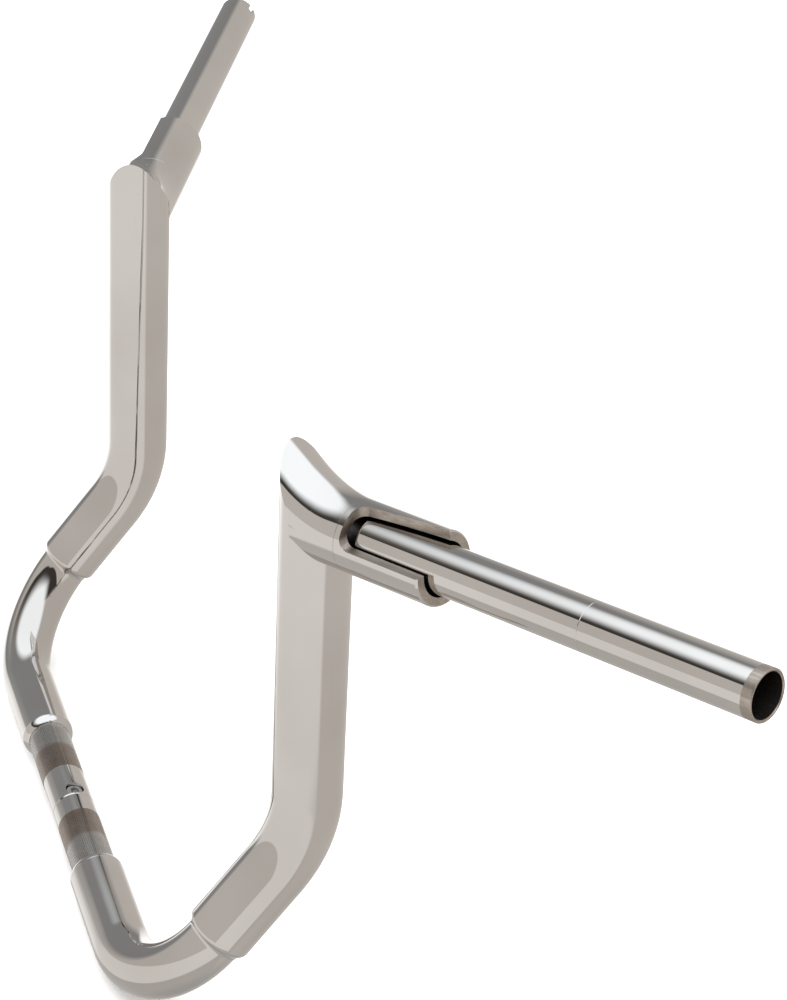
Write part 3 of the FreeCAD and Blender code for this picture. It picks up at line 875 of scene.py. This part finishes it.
in_chrome = background(room, 1 / PLATING)
on_floor = background(PLAIN_WHITE, 1.5)
to_camera = background(PLAIN_WHITE, 1.0)
camera_ray = sky.node("ShaderNodeLightPath", out="Is Camera Ray")
diffuse_ray = sky.node("ShaderNodeLightPath", out="Is Diffuse Ray")
lit = sky.node("ShaderNodeMixShader", {}, [diffuse_ray, in_chrome, on_floor])
seen = sky.node("ShaderNodeMixShader", {}, [camera_ray, lit, to_camera])
sky.node("ShaderNodeOutputWorld", {}, {"Surface": seen})
print("nodes in the world:", len(sky.nodes))

# %% [markdown]
# ## Floor, lamp and camera
#
# The floor is a plain pale sheet just under the bar. It is lit by the world and by one wide soft
# lamp overhead, and it is left out of the reflections, because the world already has a table in
# it.

# %% Floor and lamp
FLOOR_SIZE = 12
LAMP_SIDE, LAMP_HEIGHT, LAMP_WATTS = 3.0, 2.6, 60

sheet = bmesh.new()
bmesh.ops.create_grid(sheet, x_segments=8, y_segments=8, size=FLOOR_SIZE)
bmesh.ops.translate(sheet, verts=sheet.verts, vec=(0, 0, cad_box[0].z))
floor_mesh = bpy.data.meshes.new("floor")
sheet.to_mesh(floor_mesh)
sheet.free()
floor = bpy.data.objects.new("floor", floor_mesh)
bpy.context.scene.collection.objects.link(floor)

paper = bpy.data.materials.new("paper")
paper_tree = Tree(paper)
grain = noise(paper_tree, paper_tree.node("ShaderNodeTexCoord", out="Object"), 3.0)
paper_colour = paper_tree.mix(grain, (0.90, 0.90, 0.895, 1), (0.93, 0.93, 0.925, 1))
finish_with(paper_tree, paper_colour, 0.0, 0.9, grain, bump=0.0)
floor_mesh.materials.append(paper)
floor.visible_glossy = False

lamp_data = bpy.data.lights.new("overhead", "AREA")
lamp_data.shape = "RECTANGLE"
lamp_data.size = LAMP_SIDE
lamp_data.size_y = LAMP_SIDE
lamp_data.energy = LAMP_WATTS
lamp = bpy.data.objects.new("overhead", lamp_data)
lamp.location = (0, 0, LAMP_HEIGHT)
lamp.visible_glossy = False
bpy.context.scene.collection.objects.link(lamp)
print("floor at", round(cad_box[0].z / MM, 1), "mm, lamp at", LAMP_HEIGHT, "m")

# %% [markdown]
# The camera stands at the rider's left, above the bar and a little in front of it, less than two
# metres away, with a long lens. That is close enough for the near hand tube to look clearly larger
# than the far one.

# %% Camera
EYE = Vector((-1.2317, 0.1933, 0.9526))
BACKWARDS = Vector((-0.816, 0.265, 0.514))    # the way from the subject to the lens
LENS = 91.27
SENSOR = 36
SHIFT = (-0.0007, 0.0005)

camera_data = bpy.data.cameras.new("camera")
camera_data.lens = LENS
camera_data.sensor_width = SENSOR
camera_data.sensor_fit = "AUTO"
camera_data.clip_start = 0.01
camera_data.clip_end = 100
camera_data.shift_x, camera_data.shift_y = SHIFT
camera = bpy.data.objects.new("camera", camera_data)
camera.location = EYE
camera.rotation_euler = BACKWARDS.to_track_quat("Z", "Y").to_euler()
bpy.context.scene.collection.objects.link(camera)
bpy.context.scene.camera = camera
bpy.context.scene.view_settings.view_transform = "Standard"
print("camera distance to the middle:", round(EYE.length, 3), "m")
